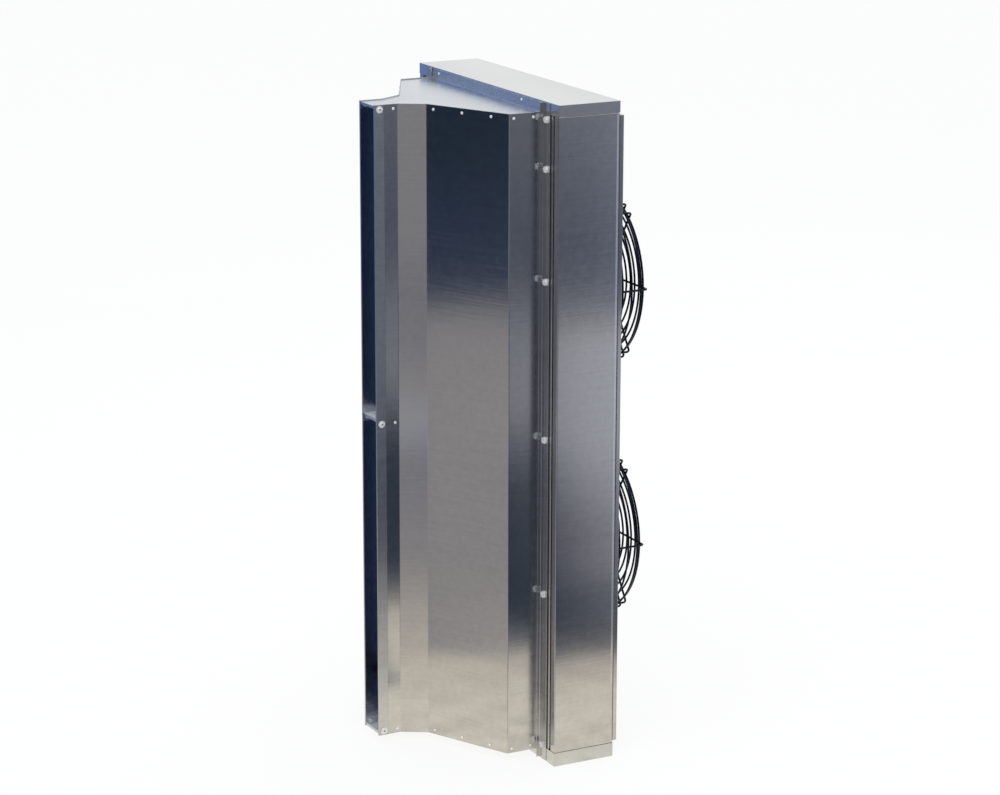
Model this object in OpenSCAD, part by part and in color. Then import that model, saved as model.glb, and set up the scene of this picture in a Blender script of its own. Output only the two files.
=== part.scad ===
// Air curtain: a narrow stainless box with two axial fans behind it, a water
// heater inside it and a folded nozzle in front that ends in one tall slot.
// Frame: +X to the near side, -Y out of the slot, +Z up.
// The origin is the centre of the box's base.

/* [Box] */
// Width of the box over its side panels
box_w = 906; // [860:1:980]
// Depth of the box without its rear panel
box_d = 200; // [192:1:230]
// Height of the box from floor to lid top
box_h = 2000; // [1940:5:2200]
// Thickness of the stainless sheet
sheet = 2; // [1.5:0.1:2.4]
// Outer radius of the nozzle's long folds
fold_r = 5; // [4:0.5:8]
// Height of the lid's skirt
lid_skirt = 34; // [28:1:40]
// Height of the base tray's rim
tray_rim = 42; // [36:1:44]
// Shadow gap between the side panels and the lid or tray
seam = 1.5; // [1:0.1:2.5]
// Width of the side panel's front return
side_return = 25; // [20:1:28]
// Width of the groove beside the front frame
groove_w = 14; // [10:1:18]
// Depth of that groove
groove_d = 12; // [8:1:14]
// Width of the front frame's upright bars
frame_bar = 88; // [84:1:90]
// Height of the front frame's rails, from the outside of the box
frame_rail = 64; // [58:1:70]
// Depth of the rear panel's folded edge
pan_d = 12; // [9:1:16]
// Gap between the rear panel and the tray or lid
pan_gap = 8; // [4:1:14]
// Inward step at the rear edge of a side panel
joggle = 2; // [1:0.2:2.4]
// Length of that step
joggle_l = 10; // [8:1:14]
// Width of a rear post
rear_post_w = 44; // [38:1:50]
// Depth of a rear post
rear_post_d = 46; // [40:1:52]
// Inner lip of a rear post
rear_post_lip = 22; // [16:1:26]
// Side leg of a front post
front_post_leg = 18; // [14:1:19]
// Landing of a front post behind the front frame
front_post_land = 16; // [12:1:20]
// Distance of the base holes from the box's sides
base_hole_in = 113; // [90:1:150]
// Distance of the base holes from the box's front and rear
base_hole_deep = 40; // [30:1:50]
// Radius of a base hole
base_hole_r = 5.5; // [4.5:0.1:7]

/* [Nozzle] */
// Distance of the nozzle's collar from the box's sides
collar_in = 93; // [88:1:105]
// Length of the straight collar
collar_l = 110; // [100:1:130]
// Depth of the steep part
steep_l = 133; // [120:1:150]
// Width where the steep part ends
waist_w = 186; // [170:2:210]
// Depth of the shallow part
shallow_l = 74; // [60:1:90]
// Width over the two lips
mouth_w = 100; // [90:1:120]
// Length of the straight lips
lip_l = 72; // [66:1:90]
// Nozzle top below the lid top
nozzle_drop = 30; // [29:0.5:33]
// Nozzle bottom above the floor
nozzle_lift = 29; // [26:0.5:34]
// Depth of the end plates below the wall edges
plate_recess = 3; // [2:0.5:5]
// Height of the end plates' side skirts
plate_skirt = 22; // [20:1:30]
// Height of the end plates' outer flange
plate_flange = 26; // [22:1:26]
// Width of the front frame that shows beside a fixing angle
frame_reveal = 12; // [8:1:14]
// Side leg of a fixing angle
angle_side = 12; // [8:1:14]
// Distance of a fixing angle's ends from floor and lid top
angle_end = 3; // [1:0.5:6]
// Thickness of the seal under the nozzle
seal_inner = 6; // [4:1:8]
// Length of the trim strips over the lips
trim_l = 30; // [26:1:34]
// Thickness of the trim strips
trim_t = 1.5; // [1:0.1:2]
// Height of the slot shelf's top above the nozzle's mid height
shelf_rise = 26.5; // [0:0.5:60]
// Height of the shelf's side flanges
shelf_flange = 26; // [24:1:34]
// Height of the shelf's front edge
shelf_edge = 8; // [6:1:14]
// Distance of the shelf behind the slot's front
shelf_in = 2; // [1:0.5:4]
// Distance from the shelf's back to the fold
shelf_back = 4; // [1:1:6]

/* [Fasteners] */
// Radius of a flange bolt's shank
bolt_r = 5; // [4:0.5:5]
// Width across flats of a flange bolt's head
bolt_af = 17; // [15:0.5:18]
// Height of a flange bolt's head
bolt_head = 6.4; // [5:0.1:7]
// Radius of a flange washer
washer_r = 10.5; // [10:0.1:12]
// Thickness of a flange washer
washer_t = 2; // [1.5:0.1:2.5]
// Height of the lowest and highest flange bolts from the box's ends
bolt_end = 50; // [49:1:60]
// Height of the odd bolt near the top, below the lid top
bolt_extra = 194; // [150:1:240]
// Radius of a small screw's shank
screw_r = 2.1; // [1.6:0.1:2.3]
// Radius of a small screw's head
screw_head_r = 4.4; // [4:0.1:5]
// Height of a small screw's head
screw_head = 2.6; // [2:0.1:3.2]
// Distance of the edge screws from the nozzle's ends
screw_edge = 14; // [12:0.5:16]
// Distance of the first screw from the collar fold
collar_screw = 14; // [12:1:20]
// Distance between the two collar screws
collar_screw_pitch = 63; // [50:1:68]
// Distance of the first screw down the steep wall
steep_screw = 65; // [50:1:70]
// Distance between the steep wall's screws
steep_screw_pitch = 104; // [90:1:105]
// Distance of the lip's small screw from its fold
lip_screw = 12; // [10:1:18]
// Distance of the large lip screw from the slot's front
mouth_screw = 15; // [13:0.5:17]
// Radius of the large lip screw's washer
mouth_washer_r = 10.5; // [9:0.5:12]
// Radius of the large lip screw's shank
mouth_screw_r = 3; // [2.4:0.1:3.2]

/* [Fans] */
// Distance of the fans' mid height below the box's mid height
fan_drop = 10; // [0:1:30]
// Distance between the fan axes
fan_pitch = 800; // [790:5:830]
// Inner radius of the inlet ring
duct_r = 250; // [244:1:256]
// Radius of the inlet ring's bell edge
bell_r = 12; // [9:1:14]
// Width of the inlet ring's flange
duct_flange = 22; // [16:1:23]
// Length of the inlet ring
duct_l = 54; // [48:1:60]
// Gap between the blade tips and the ring
tip_gap = 4; // [3:0.5:6]
// Number of blades
blade_count = 5; // [4:1:6]
// Chord of a blade at its root
root_chord = 118; // [105:1:124]
// Chord of a blade at its tip
tip_chord = 176; // [150:1:185]
// Pitch angle of a blade at its root
root_pitch = 38; // [32:1:42]
// Pitch angle of a blade at its tip
tip_pitch = 23; // [18:1:26]
// Forward sweep of a blade's tip
tip_sweep = 26; // [10:1:32]
// Thickness of a blade
blade_t = 2.4; // [2:0.1:3]
// Radius of the rotor can
rotor_r = 70; // [66:1:76]
// Length of the rotor can
rotor_l = 106; // [100:1:112]
// Wall of the rotor can
rotor_wall = 5; // [4:0.5:6]
// Radius of the motor shaft
shaft_r = 7.5; // [6:0.5:9]
// Outer radius of a motor bearing
bearing_r = 16; // [15:0.5:18]
// Width of a motor bearing
bearing_w = 9; // [8:0.5:11]
// Radius of the motor's neck
neck_r = 44; // [40:1:48]
// Radius of the motor's mounting flange
motor_flange_r = 64; // [62:1:70]
// Thickness of the motor's mounting flange
motor_flange = 9; // [8:0.5:12]

/* [Guards] */
// Radius of the guard to its leg wires
guard_r = 276; // [274:1:284]
// Depth of the guard behind the rear panel
guard_d = 188; // [184:1:200]
// Radius of the ring wire
ring_wire = 3.1; // [2.2:0.1:3.3]
// Radius of the leg wire
leg_wire = 3.3; // [2.6:0.1:3.5]
// Bend radius of the leg wire
leg_bend = 9; // [7:1:14]
// Distance between the face rings
ring_pitch = 25; // [22:1:27]
// Number of face rings
face_rings = 7; // [5:1:7]
// Number of side rings
side_rings = 6; // [4:1:7]
// Radius of the outermost face ring
face_r = 262; // [258:1:263]
// Angle of the paired legs from the horizontal
pair_angle = 55; // [50:1:60]
// Half the distance between two paired legs
pair_half = 19; // [14:1:20]
// Radius of the motor plate
plate_r = 98; // [94:1:100]
// Thickness of the motor plate and of the feet
plate_t = 3; // [2:0.5:4]
// Radial length of a guard foot
foot_l = 34; // [32:1:38]
// Radius of a guard bolt's shank
guard_bolt_r = 4; // [3:0.5:4]
// Width of a single guard foot
foot_w = 22; // [20:1:28]

/* [Heater] */
// Depth of the fin block
fin_d = 90; // [86:1:96]
// Distance of the fin block behind the front face
fin_in = 30; // [28:1:34]
// Distance of the fin block from the box's ends
fin_end = 70; // [68:1:90]
// Distance between the fins
fin_pitch = 15; // [13:1:20]
// Depth of the gaps between the fins
fin_gap_d = 41; // [30:1:42]
// Distance between the tube rows along the depth
row_pitch = 50; // [48:1:54]
// Distance between the tubes up the block
tube_pitch = 75; // [70:1:90]
// Radius of a tube
tube_r = 8; // [6:0.5:9]
// Radius of a header pipe
header_r = 22; // [20.5:0.5:23]
// Wall of a header pipe and of its stub
header_wall = 3; // [2:0.5:4]
// Distance of the headers beyond the casing plates
header_out = 58; // [50:1:60]
// Flange of a casing plate
casing_flange = 26; // [22:1:28]
// Radius of a water stub's threaded end
stub_r = 20.95; // [18:0.05:23]
// Length of a water stub's threaded end
stub_l = 22; // [18:1:28]
// Width across flats of a stub's hexagon
stub_af = 50; // [48:1:56]
// Distance of the stubs from the header ends
stub_in = 70; // [50:1:100]

/* [Terminal box] */
// Width of the terminal box
term_w = 180; // [150:1:200]
// Height of the terminal box
term_h = 110; // [90:1:120]
// Depth of the terminal box
term_d = 64; // [50:1:80]
// Wall of the terminal box
term_wall = 3; // [2:0.5:4]
// Depth of the terminal box lid
term_lid = 14; // [10:1:20]
// Hole radius of a cable gland
gland_r = 6; // [5:0.5:7]
// Width across flats of a cable gland
gland_af = 24; // [22:1:27]

/* [Hidden] */

// Overrun of every cut, clearance of every hole, and gap of a loose seat
over = 1;
hole_gap = 0.2;
seat_gap = 0.2;
// Running clearance between a shaft and its bearing
run_gap = 0.05;
// Air gap of a motor
air_gap = 0.5;

// Planes of the box
half_w = box_w / 2;
front = -box_d / 2;
rear = box_d / 2;
panel_lo = tray_rim + seam;
panel_hi = box_h - lid_skirt - seam;
collar_half = half_w - collar_in;
frame_half = half_w - side_return - groove_w;
open_half = frame_half - frame_bar;
angle_edge = frame_half - frame_reveal;
inside_front = front + sheet;
groove_floor = inside_front + groove_d + sheet;
pan_face = rear + pan_d;
pan_lo = tray_rim + pan_gap;
pan_hi = box_h - lid_skirt - pan_gap;

// Points where the nozzle's near wall is folded, on its outer face
wall_folds = [
    [collar_half, front],
    [collar_half, front - collar_l],
    [waist_w / 2, front - collar_l - steep_l],
    [mouth_w / 2, front - collar_l - steep_l - shallow_l],
    [mouth_w / 2, front - collar_l - steep_l - shallow_l - lip_l]];
mouth_y = wall_folds[4][1];
lip_fold_y = wall_folds[3][1];
nozzle_top = box_h - nozzle_drop;
nozzle_bot = nozzle_lift;
nozzle_mid = (nozzle_top + nozzle_bot) / 2;
shelf_z = nozzle_mid + shelf_rise;
plate_top = nozzle_top - plate_recess;

// Folded sheet: unit vectors, the left-hand normal, mitred offsets and rounded folds
function unit(v) = v / norm(v);
function left(v) = [-v[1], v[0]];
function before(p, i) = unit(p[max(i, 1)] - p[max(i, 1) - 1]);
function after(p, i) = let (k = min(i, len(p) - 2)) unit(p[k + 1] - p[k]);
function mitre(p, i) = let (m = left(before(p, i)) + left(after(p, i))) 2 * m / (m * m);
function shifted(p, d) = [for (i = [0:len(p) - 1]) p[i] + d * mitre(p, i)];
function backwards(p) = [for (i = [len(p) - 1:-1:0]) p[i]];
function flipped(p) = [for (q = p) [-q[0], q[1]]];
function strip(p, d) = concat(p, backwards(shifted(p, d)));
fold_steps = 4;
// The turn at one fold as points of an arc of radius r, a circle that touches both legs
function fold_arc(a, b, c, r) =
    let (u = unit(b - a), v = unit(c - b), side = sign(u[0] * v[1] - u[1] * v[0]),
        turn = acos(u * v), start = b - u * r * tan(turn / 2), centre = start + side * r * left(u))
    [for (k = [0:fold_steps]) let (t = side * turn * k / fold_steps, q = start - centre)
        centre + [q[0] * cos(t) - q[1] * sin(t), q[0] * sin(t) + q[1] * cos(t)]];
function rounded(p, r) = concat([p[0]],
    [for (i = [1:len(p) - 2]) for (q = fold_arc(p[i - 1], p[i], p[i + 1], r)) q],
    [p[len(p) - 1]]);
wall_line = rounded(wall_folds, fold_r);
// Outer radius of a sharp press brake fold
bend_r = sheet * 1.5;

// Upright extrusion of an outline between two heights
module upright(outline, lo, hi) translate([0, 0, lo]) linear_extrude(hi - lo) polygon(outline);
// Box between two corners
module block(lo, hi) translate(lo) cube(hi - lo);
// The shape and its twin on the far side
module both_sides() {
    children();
    mirror([1, 0, 0]) children();
}
// Turns the drilling direction, local +Z, to face out of the front or the rear
module facing_front() rotate([90, 0, 0]) children();
module facing_rear() rotate([-90, 0, 0]) children();
// A point on the nozzle's near wall: leg number, distance along it, height; local +Z points out
module on_wall(leg, along, z) {
    a = wall_folds[leg];
    u = unit(wall_folds[leg + 1] - a);
    place = a + along * u;
    out = left(u);
    translate([place[0], place[1], z]) rotate([0, 90, atan2(out[1], out[0])]) children();
}

// Fastener shapes, seated on the plane z = 0 with the head above it
module hexagon(af, h) cylinder(r = af / sqrt(3), h = h, $fn = 6);
module drill(r, deep) translate([0, 0, -deep])
    cylinder(r = r + hole_gap, h = deep + over, $fn = 32);
module pan_screw(r, head_r, head_h, deep) {
    rotate_extrude($fn = 32) polygon([[0, -deep], [r, -deep], [r, 0], [head_r, 0],
        [head_r, head_h / 3], [head_r * 3 / 4, head_h], [0, head_h]]);
}
module small_screw(deep) pan_screw(screw_r, screw_head_r, screw_head, deep);

// Base tray: floor and four upstanding rims, with the four fixing holes
module base_tray() color("silver") difference() {
    block([-half_w, front, 0], [half_w, rear, tray_rim]);
    block([sheet - half_w, front + sheet, sheet], [half_w - sheet, rear - sheet, tray_rim + over]);
    for (x = [-1, 1], y = [-1, 1])
        translate([x * (half_w - base_hole_in), y * (rear - base_hole_deep), -over])
            cylinder(r = base_hole_r, h = sheet + 2 * over, $fn = 48);
    at_flange_screws(low = true) drill(screw_r, 2 * sheet + over);
}

// Lid: a cap of the same plan with a downturned skirt
module top_lid() color("gainsboro") difference() {
    block([-half_w, front, box_h - lid_skirt], [half_w, rear, box_h]);
    block([sheet - half_w, front + sheet, box_h - lid_skirt - over],
        [half_w - sheet, rear - sheet, box_h - sheet]);
    at_flange_screws(low = false) drill(screw_r, 2 * sheet + over);
}

// Side panel: web, front return and joggled rear edge, folded from one sheet
side_line = [[half_w - side_return, front], [half_w, front], [half_w, rear - joggle_l],
    [half_w - joggle, rear]];
module side_panel() upright(strip(rounded(side_line, bend_r), sheet), panel_lo, panel_hi);
module near_side_panel() color("lightsteelblue") side_panel();
module far_side_panel() color("lightsteelblue") mirror([1, 0, 0]) difference() {
    side_panel();
    at_stubs() cylinder(r = header_r + over, h = box_w, $fn = 48);
}

// Front frame: a plate with one tall opening and its outer edges turned back
frame_line = [[frame_half, groove_floor], [frame_half, inside_front],
    [open_half, inside_front]];
module front_frame() color("lightgray") difference() {
    union() {
        both_sides() upright(strip(rounded(frame_line, bend_r), -sheet), sheet, box_h - sheet);
        block([-open_half - over, inside_front, sheet],
            [open_half + over, inside_front + sheet, frame_rail]);
        block([-open_half - over, inside_front, box_h - frame_rail],
            [open_half + over, inside_front + sheet, box_h - sheet]);
    }
    at_flange_bolts() drill(bolt_r, 4 * sheet);
    for (low = [false, true]) at_flange_screws(low) drill(screw_r, 4 * sheet);
}

// Front posts: the floor of the groove, a step and a corner, folded from one sheet
front_post_line = [[frame_half - front_post_land, groove_floor],
    [half_w - side_return - sheet, groove_floor], [half_w - side_return - sheet, inside_front],
    [half_w - sheet, inside_front], [half_w - sheet, inside_front + front_post_leg]];
module front_posts() color("darkgray") both_sides()
    upright(strip(rounded(front_post_line, bend_r), sheet), sheet, box_h - sheet);

// Rear posts: channels that reach back to the rear panel, notched for tray and lid
post_x = half_w - sheet - joggle;
rear_post_line = [[post_x - rear_post_w, pan_face - sheet], [post_x, pan_face - sheet],
    [post_x, pan_face - sheet - rear_post_d], [post_x - rear_post_lip, pan_face - sheet - rear_post_d]];
module rear_posts() color("darkgray") both_sides() difference() {
    upright(strip(rounded(rear_post_line, bend_r), -sheet), sheet, box_h - sheet);
    block([post_x - box_w / 4, rear - sheet, 0], [half_w, pan_face + over, pan_lo + sheet]);
    block([post_x - box_w / 4, rear - sheet, pan_hi - sheet], [half_w, pan_face + over, box_h]);
    at_rear_screws() drill(screw_r, 3 * sheet);
}

// Rear panel: a shallow pan turned forward at its edges, with the two fan openings
module rear_panel() color("lightgray") difference() {
    block([-half_w, rear, pan_lo], [half_w, pan_face, pan_hi]);
    block([sheet - half_w, rear - over, pan_lo + sheet],
        [half_w - sheet, pan_face - sheet, pan_hi - sheet]);
    at_fans() cylinder(r = duct_r + bell_r, h = pan_face + over, $fn = 96);
    at_fans() at_feet() translate([0, 0, pan_face]) drill(guard_bolt_r, 2 * sheet);
    both_sides() at_rear_screws() drill(screw_r, 2 * sheet);
}

// Screws of the rear panel, evenly up both posts
rear_screw_x = post_x - rear_post_w / 2;
rear_screw_end = 30;
rear_screw_count = 7;
rear_screw_pitch = (pan_hi - pan_lo - 2 * rear_screw_end) / (rear_screw_count - 1);
module at_rear_screws() for (i = [0:rear_screw_count - 1])
    translate([rear_screw_x, pan_face, pan_lo + rear_screw_end + i * rear_screw_pitch])
        facing_rear() children();
module rear_panel_screws() color("white") both_sides() at_rear_screws() small_screw(2 * sheet + seat_gap);

// Seal between the nozzle's flange and the front frame
module nozzle_seal() color("dimgray") difference() {
    block([-angle_edge, front, panel_lo], [angle_edge, inside_front, panel_hi]);
    block([seal_inner - collar_half, front - over, frame_rail],
        [collar_half - seal_inner, inside_front + over, box_h - frame_rail]);
    at_flange_bolts() drill(bolt_r, 4 * sheet);
}

// Nozzle walls: collar, steep part, shallow part and lip, folded from one sheet
module nozzle_wall() difference() {
    upright(strip(wall_line, -sheet), nozzle_bot, nozzle_top);
    at_wall_screws() drill(screw_r, 3 * sheet);
    at_mouth_screws() drill(mouth_screw_r, 3 * sheet + trim_t);
}
module near_nozzle_wall() color("lightsteelblue") nozzle_wall();
module far_nozzle_wall() color("lightsteelblue") mirror([1, 0, 0]) nozzle_wall();

// End plates: a flat plate sunk between the walls, skirts for its screws,
// a small edge over the slot and a mitred flange against the box
plate_line = shifted(wall_line, -sheet);
plate_edge = 8;
flange_mitre = 14;
module end_plate() difference() {
    union() {
        upright(concat(plate_line, backwards(flipped(plate_line))), plate_top - sheet, plate_top);
        both_sides() upright(strip(plate_line, -sheet), plate_top - plate_skirt, plate_top - sheet);
        block([sheet - mouth_w / 2, mouth_y, plate_top - plate_edge],
            [mouth_w / 2 - sheet, mouth_y + sheet, plate_top]);
        translate([0, front, 0]) facing_front() linear_extrude(sheet) polygon([
            [sheet - collar_half, plate_top - sheet], [collar_half - sheet, plate_top - sheet],
            [collar_half - sheet, nozzle_top + plate_flange],
            [sheet + flange_mitre - collar_half, nozzle_top + plate_flange],
            [sheet - collar_half, nozzle_top + plate_flange - flange_mitre]]);
    }
    both_sides() at_wall_screws() drill(screw_r, 3 * sheet);
    both_sides() at_mouth_screws() drill(mouth_screw_r, 3 * sheet + trim_t);
    at_flange_screws(low = false) drill(screw_r, 3 * sheet);
}
// The lower plate is the upper one turned over about the nozzle's middle height
module turned_over() translate([0, 0, 2 * nozzle_mid]) mirror([0, 0, 1]) children();
module nozzle_top_plate() color("whitesmoke") end_plate();
module nozzle_bottom_plate() color("whitesmoke") turned_over() end_plate();

// Screws through the outer flanges into the lid's skirt and the tray's rim
flange_screw_share = [-0.87, 0.636];
flange_screw_z = nozzle_top + plate_flange / 2 + sheet;
module at_flange_screws(low) for (s = flange_screw_share)
    translate([s * collar_half, front - sheet, low ? 2 * nozzle_mid - flange_screw_z : flange_screw_z])
        facing_front() children();
module flange_screws() color("white") for (low = [false, true])
    at_flange_screws(low) small_screw(3 * sheet + seat_gap);

// Fixing angles: one leg on the box, one along the collar, from floor to lid
angle_line = [[angle_edge, front - sheet], [collar_half + sheet, front - sheet],
    [collar_half + sheet, front - angle_side]];
module fixing_angle() difference() {
    upright(strip(rounded(angle_line, bend_r - sheet), -sheet), angle_end, box_h - angle_end);
    at_flange_bolts() drill(bolt_r, 4 * sheet);
}
module near_fixing_angle() color("gainsboro") fixing_angle();
module far_fixing_angle() color("gainsboro") mirror([1, 0, 0]) fixing_angle();

// Flange bolts: an even row up each side, and one odd bolt near the top
bolt_gaps = 4;
bolt_heights = concat([for (i = [0:bolt_gaps]) bolt_end + i * (box_h - 2 * bolt_end) / bolt_gaps],
    [box_h - bolt_extra]);
bolt_x = (collar_half + frame_half) / 2;
bolt_grip = 3 * sheet;
module at_flange_bolts() both_sides() for (z = bolt_heights)
    translate([bolt_x, front - sheet, z]) facing_front() children();
module flange_bolts() color("white") at_flange_bolts() union() {
    translate([0, 0, washer_t]) hexagon(bolt_af, bolt_head);
    translate([0, 0, -bolt_grip - bolt_head])
        cylinder(r = bolt_r, h = bolt_grip + bolt_head + washer_t, $fn = 32);
}
module flange_washers() color("silver") at_flange_bolts() difference() {
    cylinder(r = washer_r, h = washer_t, $fn = 48);
    drill(bolt_r, over);
    cylinder(r = bolt_r + hole_gap, h = washer_t + over, $fn = 32);
}
module flange_nuts() color("silver") at_flange_bolts() translate([0, 0, -bolt_grip]) difference() {
    translate([0, 0, -bolt_head]) hexagon(bolt_af, bolt_head);
    drill(bolt_r, bolt_head + over);
}

// Small screws round the nozzle's edges, into the end plates and the shelf
module at_wall_screws() {
    for (z = [nozzle_bot + screw_edge, nozzle_top - screw_edge]) {
        for (k = [0, 1]) on_wall(0, collar_l - collar_screw - k * collar_screw_pitch, z) children();
        for (k = [0:2]) on_wall(1, steep_screw + k * steep_screw_pitch, z) children();
        on_wall(3, lip_screw, z) children();
    }
    on_wall(3, lip_screw, shelf_screw_z) children();
}
module nozzle_screws() color("white") both_sides() at_wall_screws() small_screw(2 * sheet + over);

// Large socket screws with washers through trim and lip, with nuts inside the slot
shelf_screw_z = shelf_z - (shelf_flange + sheet) / 2;
module at_mouth_screws() for (z = [nozzle_bot + screw_edge, shelf_screw_z, nozzle_top - screw_edge])
    on_wall(3, lip_l - mouth_screw, z) translate([0, 0, trim_t]) children();
mouth_head_r = mouth_screw_r * 2.3;
mouth_head = mouth_screw_r * 1.2;
mouth_washer = washer_t * 0.8;
module lip_screws() color("white") both_sides() at_mouth_screws() difference() {
    union() {
        cylinder(r = mouth_washer_r, h = mouth_washer, $fn = 48);
        translate([0, 0, mouth_washer]) pan_screw(mouth_screw_r, mouth_head_r, mouth_head,
            mouth_washer + trim_t + 2 * sheet + mouth_head * 1.5);
    }
    translate([0, 0, mouth_washer]) hexagon(mouth_screw_r * 2, mouth_head + over);
}
module lip_nuts() color("silver") both_sides() at_mouth_screws()
    translate([0, 0, -trim_t - 2 * sheet - mouth_head]) difference() {
        hexagon(mouth_screw_r * 3.4, mouth_head);
        translate([0, 0, mouth_head]) drill(mouth_screw_r, mouth_head + over);
    }

// Trim strips: hooked over the lips' front edges
trim_line = [[mouth_w / 2 + trim_t, mouth_y + trim_l], [mouth_w / 2 + trim_t, mouth_y - trim_t],
    [mouth_w / 2 - 2 * sheet, mouth_y - trim_t]];
module lip_trim() difference() {
    upright(strip(trim_line, -trim_t), nozzle_bot, nozzle_top);
    at_mouth_screws() drill(mouth_screw_r, 2 * trim_t);
}
module near_lip_trim() color("gainsboro") lip_trim();
module far_lip_trim() color("gainsboro") mirror([1, 0, 0]) lip_trim();

// Shelf across the slot: plate, side flanges and front edge
shelf_half = mouth_w / 2 - sheet;
shelf_front = mouth_y + shelf_in;
shelf_rear = lip_fold_y - shelf_back;
module slot_shelf() color("gainsboro") difference() {
    block([-shelf_half, shelf_front, shelf_z - shelf_flange], [shelf_half, shelf_rear, shelf_z]);
    block([sheet - shelf_half, shelf_front - over, shelf_z - shelf_flange - over],
        [shelf_half - sheet, shelf_rear + over, shelf_z - shelf_edge]);
    block([sheet - shelf_half, shelf_front + sheet, shelf_z - shelf_flange - over],
        [shelf_half - sheet, shelf_rear + over, shelf_z - sheet]);
    both_sides() at_wall_screws() drill(screw_r, 3 * sheet);
    both_sides() at_mouth_screws() drill(mouth_screw_r, 3 * sheet + trim_t);
}

// Heater: a comb of upright fins on both faces of a thin core
fin_lo = front + fin_in;
fin_hi = fin_lo + fin_d;
fin_count = floor(2 * open_half / fin_pitch);
fin_t = sheet;
comb_half = (fin_count * fin_pitch - fin_pitch + fin_t) / 2;
function comb(y, inner) = [for (i = [0:fin_count - 1]) let (x = i * fin_pitch - comb_half)
    each [[x, inner], [x, y], [x + fin_t, y], [x + fin_t, inner]]];
module heater_fin_block() color("silver") upright(
    concat(comb(fin_lo, fin_lo + fin_gap_d), backwards(comb(fin_hi, fin_hi - fin_gap_d))),
    fin_end, box_h - fin_end);

// Casing plates: channels at both sides of the fins, bolted behind the front frame
casing_x = comb_half + sheet;
casing_line = [[comb_half + sheet + casing_flange, inside_front + sheet],
    [comb_half, inside_front + sheet], [comb_half, fin_hi]];
module heater_casing_plates() color("lightgray") both_sides()
    upright(strip(rounded(casing_line, bend_r), -sheet), fin_end, box_h - fin_end);

// Tubes: return bends on the near side, headers on the far side
row_y = (fin_lo + fin_hi - row_pitch) / 2;
tube_count = floor((box_h - 2 * fin_end - 2 * header_r) / tube_pitch) + 1;
tube_lo = (box_h - (tube_count - 1) * tube_pitch) / 2;
module at_tubes() for (i = [0:tube_count - 1])
    translate([casing_x, row_y, tube_lo + i * tube_pitch]) children();
module heater_return_bends() color("peru") at_tubes() translate([0, row_pitch / 2, 0])
    rotate([0, 0, -90]) rotate_extrude(angle = 180, $fn = 48) translate([row_pitch / 2, 0])
        circle(r = tube_r, $fn = 24);

// Header: an upright pipe, its feeders and a bored, threaded stub through the far side panel
header_x = casing_x + header_out;
header_lo = tube_lo - header_r;
header_hi = box_h - tube_lo + header_r;
stub_heights = [header_lo + stub_in + tube_pitch / 2, header_hi - stub_in - tube_pitch / 2];
neck_out = half_w - header_x + 2 * sheet;
hexagon_l = stub_l / 2;
module at_stub(k) translate([header_x, row_y + k * row_pitch, stub_heights[k]])
    rotate([0, 90, 0]) children();
module at_stubs() for (k = [0, 1]) at_stub(k) children();
module header(k) color("peru") mirror([1, 0, 0]) difference() {
    union() {
        translate([header_x, row_y + k * row_pitch, header_lo])
            cylinder(r = header_r, h = header_hi - header_lo, $fn = 48);
        at_tubes() translate([0, k * row_pitch, 0]) rotate([0, 90, 0])
            cylinder(r = tube_r, h = header_out, $fn = 24);
        at_stub(k) {
            cylinder(r = stub_r - sheet, h = neck_out + over, $fn = 48);
            translate([0, 0, neck_out]) hexagon(stub_af, hexagon_l);
            translate([0, 0, neck_out + hexagon_l]) cylinder(r = stub_r, h = stub_l, $fn = 48);
        }
    }
    translate([header_x, row_y + k * row_pitch, header_lo + header_wall])
        cylinder(r = header_r - header_wall, h = header_hi - header_lo - 2 * header_wall, $fn = 48);
    at_stub(k) cylinder(r = stub_r - sheet - header_wall,
        h = neck_out + hexagon_l + stub_l + over, $fn = 48);
}
module supply_header() header(0);
module return_header() header(1);

// Fans: everything below is drawn about the fan's axis, with local z as world y
upper = 1;
lower = 0;
fan_mid = box_h / 2 - fan_drop;
module at_fan(k) translate([0, 0, fan_mid + (k - 0.5) * fan_pitch]) facing_rear() children();
module at_fans() for (k = [lower, upper]) at_fan(k) children();

// Inlet ring: cylinder, bell edge as a quarter round, and a flange behind the panel
bell_steps = 6;
ring_back = pan_face - sheet;
duct_line = concat(
    [[duct_r, ring_back - duct_l], [duct_r, ring_back - bell_r]],
    [for (k = [1:bell_steps]) let (t = 90 * k / bell_steps)
        [duct_r + bell_r * (1 - cos(t)), ring_back - bell_r * (1 - sin(t))]],
    [[duct_r + bell_r + duct_flange, ring_back]]);
module inlet_ring() color("lightgray") rotate_extrude($fn = 96) polygon(strip(duct_line, -sheet));
module upper_inlet_ring() at_fan(upper) inlet_ring();
module lower_inlet_ring() at_fan(lower) inlet_ring();

// Heights along the axis of the guard and the motor
face_h = pan_face + guard_d;
plate_hi = face_h - leg_wire - seat_gap;
plate_lo = plate_hi - plate_t;
flange_lo = plate_lo - motor_flange;
rotor_lo = pan_face - bell_r * 2;
rotor_hi = rotor_lo + rotor_l;
core_lo = rotor_lo + rotor_wall + 2 * tip_gap;
core_hi = rotor_hi - 2 * tip_gap;
core_r = rotor_r - rotor_wall - air_gap;
bore_r = bearing_r * 0.8;

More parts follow.
